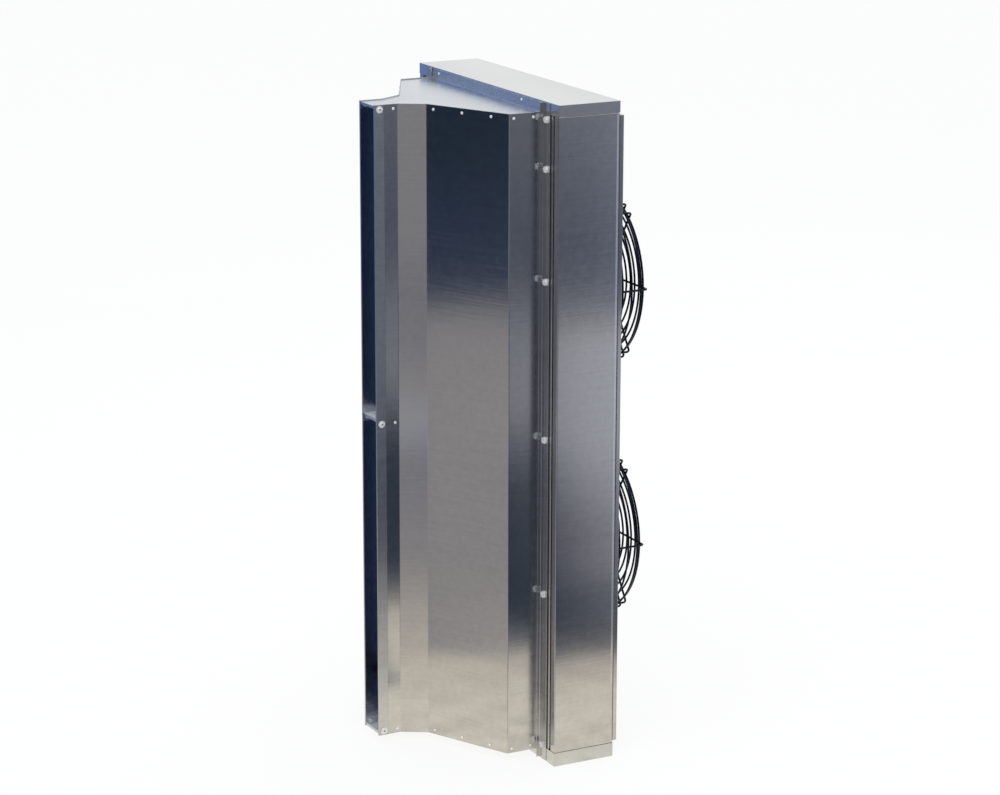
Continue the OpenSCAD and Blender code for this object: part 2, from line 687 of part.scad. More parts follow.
// Stator: core inside the rotor can, neck and flange, bored for two bearings
module motor_stator() color("dimgray") difference() {
    rotate_extrude($fn = 64) polygon([
        [bearing_r, core_lo], [core_r, core_lo], [core_r, core_hi], [neck_r, core_hi],
        [neck_r, flange_lo], [motor_flange_r, flange_lo], [motor_flange_r, plate_lo],
        [bearing_r, plate_lo], [bearing_r, flange_lo - bearing_w], [bore_r, flange_lo - bearing_w],
        [bore_r, core_lo + bearing_w], [bearing_r, core_lo + bearing_w]]);
    at_motor_bolts() drill(motor_bolt_r, motor_flange + plate_t + over);
}
module upper_motor_stator() at_fan(upper) motor_stator();
module lower_motor_stator() at_fan(lower) motor_stator();

// Bearings: two rings with recessed shields
shield = 0.5;
ring_w = (bearing_r - shaft_r) / 4;
module bearing() rotate_extrude($fn = 64) polygon([
    [shaft_r + run_gap, 0], [shaft_r + ring_w, 0], [shaft_r + ring_w, shield],
    [bearing_r - ring_w, shield], [bearing_r - ring_w, 0], [bearing_r - run_gap, 0],
    [bearing_r - run_gap, bearing_w], [bearing_r - ring_w, bearing_w],
    [bearing_r - ring_w, bearing_w - shield], [shaft_r + ring_w, bearing_w - shield],
    [shaft_r + ring_w, bearing_w], [shaft_r + run_gap, bearing_w]]);
module motor_bearings() color("silver") for (h = [core_lo, flange_lo - bearing_w])
    translate([0, 0, h]) bearing();
module upper_motor_bearings() at_fan(upper) motor_bearings();
module lower_motor_bearings() at_fan(lower) motor_bearings();

// Rotor: the can that turns round the stator, closed in front, with its shaft
module rotor() color("dimgray") rotate_extrude($fn = 64) polygon([
    [0, rotor_lo], [rotor_r - rotor_wall, rotor_lo], [rotor_r, rotor_lo + rotor_wall],
    [rotor_r, rotor_hi], [rotor_r - rotor_wall, rotor_hi], [rotor_r - rotor_wall, rotor_lo + rotor_wall],
    [shaft_r * 2, rotor_lo + rotor_wall], [shaft_r, rotor_lo + rotor_wall + tip_gap],
    [shaft_r, flange_lo + motor_flange / 3], [0, flange_lo + motor_flange / 3]]);
module upper_rotor() at_fan(upper) rotor();
module lower_rotor() at_fan(lower) rotor();

// Blades: a grid of points over radius and chord. The pitch falls and the chord
// grows towards the tip, the section is a shallow parabola, and the tip is swept forward.
radial_steps = 9;
chord_steps = 8;
root_r = rotor_r + seat_gap * 1.5;
tip_r = duct_r - tip_gap;
blade_h = rotor_lo + rotor_l / 5;
camber_share = 0.07;
function blade_point(i, j, side) =
    let (s = i / radial_steps, u = j / chord_steps - 0.5, r = root_r + s * (tip_r - root_r),
        chord = root_chord + s * (tip_chord - root_chord),
        pitch = root_pitch + s * (tip_pitch - root_pitch),
        bow = camber_share * chord * (1 - 4 * u * u) + side * blade_t / 2,
        around = u * chord * cos(pitch) - bow * sin(pitch),
        along = u * chord * sin(pitch) + bow * cos(pitch),
        angle = tip_sweep * pow(s, 1.5) + around / r * 180 / PI)
    [r * cos(angle), r * sin(angle), blade_h + along];
function grid_index(i, j, k) = (k * (radial_steps + 1) + i) * (chord_steps + 1) + j;
function rim_cells() = concat(
    [for (j = [0:chord_steps - 1]) [[0, j], [0, j + 1]]],
    [for (i = [0:radial_steps - 1]) [[i, chord_steps], [i + 1, chord_steps]]],
    [for (j = [chord_steps:-1:1]) [[radial_steps, j], [radial_steps, j - 1]]],
    [for (i = [radial_steps:-1:1]) [[i, 0], [i - 1, 0]]]);
blade_points = [for (k = [0, 1]) for (i = [0:radial_steps]) for (j = [0:chord_steps])
    blade_point(i, j, 2 * k - 1)];
blade_faces = concat(
    [for (i = [0:radial_steps - 1]) for (j = [0:chord_steps - 1]) each [
        [grid_index(i, j, 0), grid_index(i + 1, j, 0), grid_index(i + 1, j + 1, 0)],
        [grid_index(i, j, 0), grid_index(i + 1, j + 1, 0), grid_index(i, j + 1, 0)],
        [grid_index(i, j, 1), grid_index(i + 1, j + 1, 1), grid_index(i + 1, j, 1)],
        [grid_index(i, j, 1), grid_index(i, j + 1, 1), grid_index(i + 1, j + 1, 1)]]],
    [for (c = rim_cells()) let (a = c[0], b = c[1]) each [
        [grid_index(a[0], a[1], 0), grid_index(b[0], b[1], 0), grid_index(b[0], b[1], 1)],
        [grid_index(a[0], a[1], 0), grid_index(b[0], b[1], 1), grid_index(a[0], a[1], 1)]]]);
module blades() color("black") for (n = [0:blade_count - 1])
    rotate([0, 0, n * 360 / blade_count]) polyhedron(blade_points, blade_faces);
module upper_blades() at_fan(upper) blades();
module lower_blades() at_fan(lower) blades();

// Guard: rings of wire inside legs of thicker wire, a motor plate and feet
pair_angles = [pair_angle, 180 - pair_angle, 180 + pair_angle, -pair_angle];
single_angles = [0, 90, 180, 270];
foot_hi = pan_face + plate_t;
leg_in = plate_r * 0.85;
side_r = guard_r - leg_wire - seat_gap - ring_wire;
ring_h = face_h - leg_wire - seat_gap - ring_wire;
side_lo = foot_hi + 4 * ring_wire;
side_hi = face_h - leg_bend * 2;
module wire_ring(r, h) translate([0, 0, h]) rotate_extrude($fn = 96) translate([r, 0])
    circle(r = ring_wire, $fn = 16);
// One leg: out along the face, round the bend and down to its foot, set off sideways
module leg(off) {
    reach = sqrt(guard_r * guard_r - off * off);
    translate([0, off, 0]) {
        translate([leg_in, 0, face_h]) rotate([0, 90, 0])
            cylinder(r = leg_wire, h = reach - leg_bend - leg_in, $fn = 16);
        translate([reach - leg_bend, 0, face_h - leg_bend]) rotate([90, 0, 0])
            rotate_extrude(angle = 90, $fn = 48) translate([leg_bend, 0]) circle(r = leg_wire, $fn = 16);
        translate([reach, 0, foot_hi]) cylinder(r = leg_wire, h = face_h - leg_bend - foot_hi, $fn = 16);
    }
}
// A foot: a plate with clipped outer corners, from inside the legs to beyond the bolt
foot_in = guard_r - leg_wire * 2;
foot_bolt = foot_in + foot_l * 0.7;
module foot(w) translate([0, 0, pan_face]) linear_extrude(plate_t) polygon([
    [foot_in, -w / 2], [foot_in + foot_l * 0.75, -w / 2], [foot_in + foot_l, -w / 4],
    [foot_in + foot_l, w / 4], [foot_in + foot_l * 0.75, w / 2], [foot_in, w / 2]]);
module at_feet() for (a = concat(pair_angles, single_angles)) rotate([0, 0, a])
    translate([foot_bolt, 0, 0]) children();
module guard_face() color("black") {
    for (i = [0:face_rings - 1]) wire_ring(face_r - i * ring_pitch, ring_h);
    difference() {
        translate([0, 0, plate_lo]) cylinder(r = plate_r, h = plate_t, $fn = 64);
        at_motor_bolts() drill(motor_bolt_r, 2 * plate_t);
    }
}
module guard_rings() color("black") for (i = [0:side_rings - 1])
    wire_ring(side_r, side_lo + i * (side_hi - side_lo) / (side_rings - 1));
module guard_legs() color("black") difference() {
    union() {
        for (a = single_angles) rotate([0, 0, a]) { leg(0); foot(foot_w); }
        for (a = pair_angles) rotate([0, 0, a]) {
            leg(pair_half);
            leg(-pair_half);
            foot(2 * pair_half + foot_w * 2 / 3);
        }
    }
    at_feet() translate([0, 0, foot_hi]) drill(guard_bolt_r, 2 * plate_t);
}
module upper_guard_face() at_fan(upper) guard_face();
module lower_guard_face() at_fan(lower) guard_face();
module upper_guard_rings() at_fan(upper) guard_rings();
module lower_guard_rings() at_fan(lower) guard_rings();
module upper_guard_legs() at_fan(upper) guard_legs();
module lower_guard_legs() at_fan(lower) guard_legs();

// Bolts of the guard's feet and of the motor
module hex_bolt(r, deep) {
    hexagon(r * 3.25, r * 1.3);
    translate([0, 0, -deep]) cylinder(r = r, h = deep, $fn = 32);
}
module guard_bolts() color("silver") at_fans() at_feet() translate([0, 0, foot_hi])
    hex_bolt(guard_bolt_r, plate_t + 3 * sheet);
motor_bolt_r = 3;
motor_bolt_circle = (neck_r + motor_flange_r) / 2;
module at_motor_bolts() for (a = [45:90:315]) rotate([0, 0, a])
    translate([motor_bolt_circle, 0, plate_hi]) children();
module motor_bolts() color("silver") at_fans() at_motor_bolts()
    hex_bolt(motor_bolt_r, plate_t + motor_flange - over);

// Terminal box between the fans: an open shell, its lid, screws and glands
term_z = fan_mid;
term_back = pan_face + term_d;
module rounded_plate(w, h, r, lo, hi)
    translate([0, lo, term_z]) facing_rear() linear_extrude(hi - lo) {
        square([w - 2 * r, h], center = true);
        square([w, h - 2 * r], center = true);
        for (x = [-1, 1], y = [-1, 1]) translate([x * (w / 2 - r), y * (h / 2 - r)])
            circle(r = r, $fn = 32);
    }
term_corner = 2 * term_wall;
module terminal_box() color("lightgray") difference() {
    rounded_plate(term_w, term_h, term_corner, pan_face, term_back);
    difference() {
        rounded_plate(term_w - 2 * term_wall, term_h - 2 * term_wall, term_wall,
            pan_face + term_wall, term_back + over);
        at_term_screws() cylinder(r = term_corner, h = 3 * term_d, center = true, $fn = 32);
    }
    at_term_screws() drill(screw_r, 4 * term_wall);
    at_glands() translate([0, 0, -over])
        cylinder(r = gland_r + term_wall + hole_gap, h = 3 * term_wall, $fn = 32);
}
module terminal_box_lid() color("gainsboro") difference() {
    rounded_plate(term_w, term_h, term_corner, term_back, term_back + term_lid);
    rounded_plate(term_w - 2 * term_wall, term_h - 2 * term_wall, term_wall,
        term_back - over, term_back + term_lid - term_wall);
    at_term_screws() translate([0, 0, term_lid]) drill(screw_r, 2 * term_lid);
}
module at_term_screws() for (x = [-1, 1], z = [-1, 1])
    translate([x * (term_w / 2 - term_corner), term_back, term_z + z * (term_h / 2 - term_corner)])
        facing_rear() children();
module terminal_box_screws() color("white") at_term_screws() translate([0, 0, term_lid])
    small_screw(term_lid + 2 * term_wall);

// Glands: spigot through the box's far wall, hexagon and domed cap, with the cable hole
gland_count = 3;
gland_pitch = gland_af * 1.35;
module at_glands() for (i = [0:gland_count - 1])
    translate([term_wall - term_w / 2, pan_face + term_d / 2,
        term_z + (i - (gland_count - 1) / 2) * gland_pitch]) rotate([0, -90, 0]) children();
gland_l = gland_r * 4;
module cable_glands() color("dimgray") at_glands() difference() {
    union() {
        cylinder(r = gland_r + term_wall, h = term_wall + over, $fn = 32);
        translate([0, 0, term_wall]) hexagon(gland_af, gland_l / 3);
        translate([0, 0, term_wall + gland_l / 3])
            cylinder(r = gland_af / 2 - over, h = gland_l / 3, $fn = 32);
        translate([0, 0, term_wall + gland_l * 2 / 3]) rotate_extrude($fn = 32) polygon([[0, 0],
            [gland_af / 2 - over, 0], [gland_r + over, gland_l / 3], [0, gland_l / 3]]);
    }
    translate([0, 0, -over]) cylinder(r = gland_r, h = gland_l + term_wall + 2 * over, $fn = 32);
}

base_tray();
top_lid();
near_side_panel();
far_side_panel();
front_frame();
front_posts();
rear_posts();
rear_panel();
nozzle_seal();
near_nozzle_wall();
far_nozzle_wall();
nozzle_top_plate();
nozzle_bottom_plate();
near_fixing_angle();
far_fixing_angle();
near_lip_trim();
far_lip_trim();
slot_shelf();
flange_bolts();
flange_washers();
flange_nuts();
nozzle_screws();
lip_screws();
lip_nuts();
flange_screws();
rear_panel_screws();
heater_fin_block();
heater_casing_plates();
heater_return_bends();
supply_header();
return_header();
upper_inlet_ring();
lower_inlet_ring();
upper_guard_face();
lower_guard_face();
upper_guard_rings();
lower_guard_rings();
upper_guard_legs();
lower_guard_legs();
upper_motor_stator();
lower_motor_stator();
upper_motor_bearings();
lower_motor_bearings();
upper_rotor();
lower_rotor();
upper_blades();
lower_blades();
motor_bolts();
guard_bolts();
terminal_box();
terminal_box_lid();
terminal_box_screws();
cable_glands();
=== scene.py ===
import math

import bpy
import numpy as np
from mathutils import Matrix, Vector


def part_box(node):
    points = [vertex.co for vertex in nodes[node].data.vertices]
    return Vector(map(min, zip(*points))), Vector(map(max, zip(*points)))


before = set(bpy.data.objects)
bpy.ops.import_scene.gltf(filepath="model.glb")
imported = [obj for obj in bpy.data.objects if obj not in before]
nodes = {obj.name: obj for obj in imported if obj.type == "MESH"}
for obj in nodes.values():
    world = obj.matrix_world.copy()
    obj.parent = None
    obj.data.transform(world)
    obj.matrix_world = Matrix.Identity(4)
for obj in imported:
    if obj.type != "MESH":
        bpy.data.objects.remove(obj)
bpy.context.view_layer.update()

# Casing sheets: lid, side panels, front frame and rear panel.
# Satin stainless sheet, 2 mm thick, folded on a press brake. Reflections smear sideways
# and stay crisp up and down; faint rolling marks lie across the panels.


def scene_values(display):
    """Scene values of an array of 0-255 display values: c/12.92 up to 0.04045, else ((c+0.055)/1.055)^2.4."""
    c = np.asarray(display, float) / 255.0
    return np.where(c <= 0.04045, c / 12.92, ((c + 0.055) / 1.055) ** 2.4)


def linear(*srgb):
    """Scene colour with alpha 1 from three display values."""
    return tuple(scene_values(srgb)) + (1.0,)


def new_material(name):
    """An empty material with its output and one Principled shader."""
    material = bpy.data.materials.new(name)
    material.use_nodes = True
    tree = material.node_tree
    tree.nodes.clear()
    output = tree.nodes.new("ShaderNodeOutputMaterial")
    shader = tree.nodes.new("ShaderNodeBsdfPrincipled")
    tree.links.new(shader.outputs["BSDF"], output.inputs["Surface"])
    return material, tree, shader


def group_socket(tree, name, kind, way, value=None):
    """A named socket on a node group, with its default value."""
    socket = tree.interface.new_socket(name=name, in_out=way, socket_type=kind)
    if value is not None:
        socket.default_value = value
    return socket


def rolled_grain_group():
    """Rolled sheet: noise drawn out along the grain, plus slow waves of the whole sheet.
    Shade multiplies the colour, Rough is added to the roughness, Height feeds a bump."""
    tree = bpy.data.node_groups.new("rolled_grain", "ShaderNodeTree")
    group_socket(tree, "Grain", "NodeSocketVector", "INPUT", (420.0, 420.0, 3.0))
    group_socket(tree, "Contrast", "NodeSocketFloat", "INPUT", 0.08)
    group_socket(tree, "Base Roughness", "NodeSocketFloat", "INPUT", 0.2)
    group_socket(tree, "Sheet Colour", "NodeSocketColor", "INPUT", (0.6, 0.6, 0.6, 1.0))
    group_socket(tree, "Waviness", "NodeSocketFloat", "INPUT", 0.0)
    group_socket(tree, "Colour", "NodeSocketColor", "OUTPUT")
    group_socket(tree, "Roughness", "NodeSocketFloat", "OUTPUT")
    group_socket(tree, "Height", "NodeSocketFloat", "OUTPUT")
    add, link = tree.nodes.new, tree.links.new
    entry, leave = add("NodeGroupInput"), add("NodeGroupOutput")
    place = add("ShaderNodeTexCoord")
    stretch = add("ShaderNodeVectorMath")
    stretch.operation = "MULTIPLY"
    link(place.outputs["Object"], stretch.inputs[0])
    link(entry.outputs["Grain"], stretch.inputs[1])
    lines = add("ShaderNodeTexNoise")
    lines.inputs["Scale"].default_value = 1.0
    lines.inputs["Detail"].default_value = 3.0
    lines.inputs["Roughness"].default_value = 0.6
    link(stretch.outputs["Vector"], lines.inputs["Vector"])
    cloud = add("ShaderNodeTexNoise")
    cloud.inputs["Scale"].default_value = 48.0
    cloud.inputs["Detail"].default_value = 6.0
    cloud.inputs["Roughness"].default_value = 0.68
    link(place.outputs["Object"], cloud.inputs["Vector"])
    both = add("ShaderNodeMath")
    both.operation = "MULTIPLY_ADD"
    link(cloud.outputs["Fac"], both.inputs[0])
    both.inputs[1].default_value = 1.6
    link(lines.outputs["Fac"], both.inputs[2])
    centred = add("ShaderNodeMath")
    centred.operation = "SUBTRACT"
    link(both.outputs[0], centred.inputs[0])
    centred.inputs[1].default_value = 1.3
    shade = add("ShaderNodeMath")
    shade.operation = "MULTIPLY_ADD"
    link(centred.outputs[0], shade.inputs[0])
    link(entry.outputs["Contrast"], shade.inputs[1])
    shade.inputs[2].default_value = 1.0
    tint = add("ShaderNodeVectorMath")
    tint.operation = "SCALE"
    link(entry.outputs["Sheet Colour"], tint.inputs[0])
    link(shade.outputs[0], tint.inputs["Scale"])
    link(tint.outputs["Vector"], leave.inputs["Colour"])
    rough = add("ShaderNodeMath")
    rough.operation = "MULTIPLY_ADD"
    link(centred.outputs[0], rough.inputs[0])
    rough.inputs[1].default_value = 0.05
    link(entry.outputs["Base Roughness"], rough.inputs[2])
    link(rough.outputs[0], leave.inputs["Roughness"])
    wave = add("ShaderNodeTexNoise")
    wave.inputs["Scale"].default_value = 1.9
    wave.inputs["Detail"].default_value = 1.0
    link(place.outputs["Object"], wave.inputs["Vector"])
    swell = add("ShaderNodeMath")
    swell.operation = "MULTIPLY_ADD"
    link(wave.outputs["Fac"], swell.inputs[0])
    link(entry.outputs["Waviness"], swell.inputs[1])
    link(lines.outputs["Fac"], swell.inputs[2])
    link(swell.outputs[0], leave.inputs["Height"])
    return tree


grain_group = rolled_grain_group()
TURN_RANGE = 0.4


def sprung_normal(tree, normal, set_curve):
    """Outer faces of a sheet that its folds have sprung: set_curve lists (Y, sideways turn in
    radians), and the normal leans towards -Y by the turn. Inner faces keep theirs. The curve
    holds the turn as a grey level, mid grey for none, over TURN_RANGE."""
    add, link = tree.nodes.new, tree.links.new
    place = add("ShaderNodeTexCoord")
    parts = add("ShaderNodeSeparateXYZ")
    link(place.outputs["Object"], parts.inputs["Vector"])
    facing = add("ShaderNodeSeparateXYZ")
    link(place.outputs["Normal"], facing.inputs["Vector"])
    side = add("ShaderNodeMath")
    side.operation = "MULTIPLY"
    link(parts.outputs["X"], side.inputs[0])
    link(facing.outputs["X"], side.inputs[1])
    outer = add("ShaderNodeMath")
    outer.operation = "GREATER_THAN"
    link(side.outputs[0], outer.inputs[0])
    outer.inputs[1].default_value = 0.0
    along = add("ShaderNodeMapRange")
    along.inputs["From Min"].default_value = set_curve[0][0]
    along.inputs["From Max"].default_value = set_curve[-1][0]
    link(parts.outputs["Y"], along.inputs["Value"])
    curve = add("ShaderNodeValToRGB")
    span = set_curve[-1][0] - set_curve[0][0]
    stops = curve.color_ramp.elements
    last = len(set_curve) - 1
    for i, (y, turn) in enumerate(set_curve):
        if i == 0:
            stop = stops[0]
        elif i == last:
            stop = stops[len(stops) - 1]
        else:
            stop = stops.new((y - set_curve[0][0]) / span)
        level = 0.5 - turn / TURN_RANGE
        stop.color = (level, level, level, 1.0)
    link(along.outputs["Result"], curve.inputs["Fac"])
    turned = add("ShaderNodeMath")
    turned.operation = "MULTIPLY_ADD"
    link(curve.outputs["Color"], turned.inputs[0])
    turned.inputs[1].default_value = TURN_RANGE
    turned.inputs[2].default_value = -TURN_RANGE / 2
    share = add("ShaderNodeMath")
    share.operation = "MULTIPLY"
    link(turned.outputs[0], share.inputs[0])
    link(outer.outputs[0], share.inputs[1])
    lean = add("ShaderNodeCombineXYZ")
    link(share.outputs[0], lean.inputs["Y"])
    total = add("ShaderNodeVectorMath")
    total.operation = "ADD"
    link(normal, total.inputs[0])
    link(lean.outputs["Vector"], total.inputs[1])
    unit = add("ShaderNodeVectorMath")
    unit.operation = "NORMALIZE"
    link(total.outputs["Vector"], unit.inputs[0])
    return unit.outputs["Vector"]


def sheet_material(name, colour, roughness, grain, contrast, bump, smear, waviness, set_curve=()):
    """Metal sheet: the rolled grain group on a metallic shader, over edges rounded by the tool.
    grain: noise scale along x, y, z; smear: how far reflections draw out sideways."""
    material, tree, shader = new_material(name)
    use = tree.nodes.new("ShaderNodeGroup")
    use.node_tree = grain_group
    use.inputs["Grain"].default_value = grain
    use.inputs["Contrast"].default_value = contrast
    use.inputs["Base Roughness"].default_value = roughness
    use.inputs["Sheet Colour"].default_value = colour
    use.inputs["Waviness"].default_value = waviness
    rounding = tree.nodes.new("ShaderNodeBevel")
    rounding.samples = 6
    rounding.inputs["Radius"].default_value = FOLD_EDGE
    bumps = tree.nodes.new("ShaderNodeBump")
    bumps.inputs["Strength"].default_value = bump
    bumps.inputs["Distance"].default_value = 0.0004
    across = tree.nodes.new("ShaderNodeTangent")
    across.direction_type = "RADIAL"
    across.axis = "Z"
    tree.links.new(use.outputs["Colour"], shader.inputs["Base Color"])
    tree.links.new(use.outputs["Roughness"], shader.inputs["Roughness"])
    tree.links.new(use.outputs["Height"], bumps.inputs["Height"])
    normal = rounding.outputs["Normal"]
    if set_curve:
        normal = sprung_normal(tree, normal, set_curve)
    tree.links.new(normal, bumps.inputs["Normal"])
    tree.links.new(bumps.outputs["Normal"], shader.inputs["Normal"])
    tree.links.new(across.outputs["Tangent"], shader.inputs["Tangent"])
    shader.inputs["Metallic"].default_value = 1.0
    shader.inputs["Anisotropic"].default_value = smear
    return material


def dress(material, *names):
    """Gives CAD nodes one material."""
    for name in names:
        mesh = nodes[name].data
        mesh.materials.clear()
        mesh.materials.append(material)


STAINLESS = linear(205, 206, 209)
UPRIGHT_GRAIN = (5.0, 5.0, 190.0)
FLAT_GRAIN = (3.0, 420.0, 420.0)
FOLD_EDGE = 0.0022
JOGGLE_DEPTH = 0.012
SIDE_LEAN = -0.07
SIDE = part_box("near_side_panel")


def upright_sheet(name, set_curve=()):
    """The satin sheet of the upright panels, with the lean of its outer faces where it has one."""
    return sheet_material(name, STAINLESS, 0.15, UPRIGHT_GRAIN, 0.17, 0.08, 0.80, 50.0, set_curve)


stainless_upright = upright_sheet("stainless_upright")
stainless_flat = sheet_material("stainless_flat", linear(217, 218, 221), 0.24, FLAT_GRAIN, 0.07, 0.06,
                                0.3, 20.0)
stainless_side = upright_sheet("stainless_side", [
    (SIDE[0][1], 0.0), (SIDE[1][1] - JOGGLE_DEPTH, SIDE_LEAN), (SIDE[1][1], -0.02)])
dress(stainless_side, "near_side_panel", "far_side_panel")
dress(stainless_upright, "front_frame", "rear_panel")
dress(stainless_flat, "top_lid")

# Posts, inlet rings and casing plates: galvanised sheet behind the stainless skin.
# Seen only in the groove beside the front frame and at the rear edge.
# The heater's casing plates have a darker spangle, so that they reflect little.


def spangle_material(name, colour, dark, size, roughness):
    """Zinc spangle: voronoi cells, each crystal with its own shade and gloss."""
    material, tree, shader = new_material(name)
    add, link = tree.nodes.new, tree.links.new
    place = add("ShaderNodeTexCoord")
    cells = add("ShaderNodeTexVoronoi")
    cells.inputs["Scale"].default_value = 1.0 / size
    link(place.outputs["Object"], cells.inputs["Vector"])
    crystal = add("ShaderNodeSeparateColor")
    link(cells.outputs["Color"], crystal.inputs["Color"])
    shades = add("ShaderNodeMix")
    shades.data_type = "RGBA"
    shades.inputs["A"].default_value = dark
    shades.inputs["B"].default_value = colour
    link(crystal.outputs["Red"], shades.inputs["Factor"])
    link(shades.outputs["Result"], shader.inputs["Base Color"])
    gloss = add("ShaderNodeMath")
    gloss.operation = "MULTIPLY_ADD"
    link(crystal.outputs["Green"], gloss.inputs[0])
    gloss.inputs[1].default_value = 0.16
    gloss.inputs[2].default_value = roughness
    link(gloss.outputs[0], shader.inputs["Roughness"])
    shader.inputs["Metallic"].default_value = 1.0
    return material


galvanised = spangle_material("galvanised", linear(196, 200, 205), linear(158, 163, 170), 0.012, 0.32)
casing_zinc = spangle_material("casing_zinc", linear(64, 72, 86), linear(42, 49, 62), 0.012, 0.45)
dress(galvanised, "front_posts", "rear_posts", "upper_inlet_ring", "lower_inlet_ring")
dress(casing_zinc, "heater_casing_plates")

# Nozzle walls, end plates and fixing angles, and the base tray, which is the plates' sheet.
# The walls are folded four times, with small rounded folds; lip and collar have sprung.
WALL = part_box("near_nozzle_wall")
LIP_DEPTH = 0.071
COLLAR_DEPTH = 0.110
FOLD_STEP = 0.001
LIP_LEAN = 0.09
MOUTH, BACK = WALL[0][1], WALL[1][1]
stainless_wall = upright_sheet("stainless_wall", [
    (MOUTH, LIP_LEAN), (MOUTH + LIP_DEPTH, 0.08), (MOUTH + LIP_DEPTH + FOLD_STEP, 0.0),
    (BACK - COLLAR_DEPTH, 0.0), (BACK - COLLAR_DEPTH + FOLD_STEP, 0.075),
    (BACK - COLLAR_DEPTH / 2, 0.065), (BACK, 0.03)])
stainless_plate = sheet_material("stainless_plate", linear(210, 214, 220), 0.28, FLAT_GRAIN, 0.08, 0.06,
                                 0.3, 20.0)
dress(stainless_wall, "near_nozzle_wall", "far_nozzle_wall")
dress(stainless_upright, "near_fixing_angle", "far_fixing_angle")
dress(stainless_plate, "nozzle_top_plate", "base_tray")

# Lip trims: hooked strips over the slot's edges.
# A little duller from handling than the walls, and leaning with the lip that they sit on.
stainless_trim = sheet_material("stainless_trim", linear(208, 211, 218), 0.30, UPRIGHT_GRAIN, 0.24, 0.12, 0.5,
                                20.0, [(MOUTH - 0.01, LIP_LEAN), (MOUTH + 0.04, LIP_LEAN)])
dress(stainless_trim, "near_lip_trim", "far_lip_trim")

# Shelf and bottom plate: the same sheet, dulled by the dust that settles on it.
# Grey dust lies in clouds over the metal, so it takes the daylight that falls into the slot.
DUST_FULL = 0.07
DUST_END = 0.16


def dusty_sheet():
    """Stainless sheet under dust: noise mixes bare metal with a dull film on the faces that look
    up. The film is full up to DUST_FULL in from the mouth, and gone at DUST_END."""
    material, tree, shader = new_material("dusty_sheet")
    add, link = tree.nodes.new, tree.links.new
    place = add("ShaderNodeTexCoord")
    film = add("ShaderNodeTexNoise")
    film.inputs["Scale"].default_value = 45.0
    film.inputs["Detail"].default_value = 6.0
    link(place.outputs["Object"], film.inputs["Vector"])
    shades = add("ShaderNodeMix")
    shades.data_type = "RGBA"
    shades.inputs["A"].default_value = linear(216, 220, 228)
    shades.inputs["B"].default_value = linear(240, 242, 246)
    link(film.outputs["Fac"], shades.inputs["Factor"])
    parts = add("ShaderNodeSeparateXYZ")
    link(place.outputs["Object"], parts.inputs["Vector"])
    mouth = add("ShaderNodeMapRange")
    mouth.inputs["From Min"].default_value = MOUTH + DUST_END
    mouth.inputs["From Max"].default_value = MOUTH + DUST_FULL
    link(parts.outputs["Y"], mouth.inputs["Value"])
    link(shades.outputs["Result"], shader.inputs["Base Color"])
    bare = add("ShaderNodeMapRange")
    faces = add("ShaderNodeSeparateXYZ")
    link(place.outputs["Normal"], faces.inputs["Vector"])
    settled = add("ShaderNodeMath")
    settled.operation = "MULTIPLY"
    link(film.outputs["Fac"], settled.inputs[0])
    link(faces.outputs["Z"], settled.inputs[1])
    bare.inputs["From Max"].default_value = 0.5
    bare.inputs["To Min"].default_value = 1.0
    bare.inputs["To Max"].default_value = 0.1
    lit = add("ShaderNodeMath")
    lit.operation = "MULTIPLY"
    link(settled.outputs[0], lit.inputs[0])
    link(mouth.outputs["Result"], lit.inputs[1])
    link(lit.outputs[0], bare.inputs["Value"])
    link(bare.outputs["Result"], shader.inputs["Metallic"])
    shader.inputs["Roughness"].default_value = 0.42
    return material


dress(dusty_sheet(), "slot_shelf", "nozzle_bottom_plate")

# Seal: black cellular rubber strip between nozzle and front frame.
# Hidden when all is bolted up, but for its edges in the joint.


def cellular_rubber():
    """Rubber foam: fine voronoi pores as bump, slight grey bloom from noise."""
    material, tree, shader = new_material("cellular_rubber")
    add, link = tree.nodes.new, tree.links.new
    place = add("ShaderNodeTexCoord")
    pores = add("ShaderNodeTexVoronoi")
    pores.inputs["Scale"].default_value = 900.0
    link(place.outputs["Object"], pores.inputs["Vector"])
    bloom = add("ShaderNodeTexNoise")
    bloom.inputs["Scale"].default_value = 40.0
    link(place.outputs["Object"], bloom.inputs["Vector"])
    shades = add("ShaderNodeMix")
    shades.data_type = "RGBA"
    shades.inputs["A"].default_value = linear(22, 22, 23)
    shades.inputs["B"].default_value = linear(46, 46, 48)
    link(bloom.outputs["Fac"], shades.inputs["Factor"])
    link(shades.outputs["Result"], shader.inputs["Base Color"])
    bumps = add("ShaderNodeBump")
    bumps.inputs["Strength"].default_value = 0.4
    bumps.inputs["Distance"].default_value = 0.0005
    link(pores.outputs["Distance"], bumps.inputs["Height"])
    link(bumps.outputs["Normal"], shader.inputs["Normal"])
    shader.inputs["Roughness"].default_value = 0.8
    return material


dress(cellular_rubber(), "nozzle_seal")
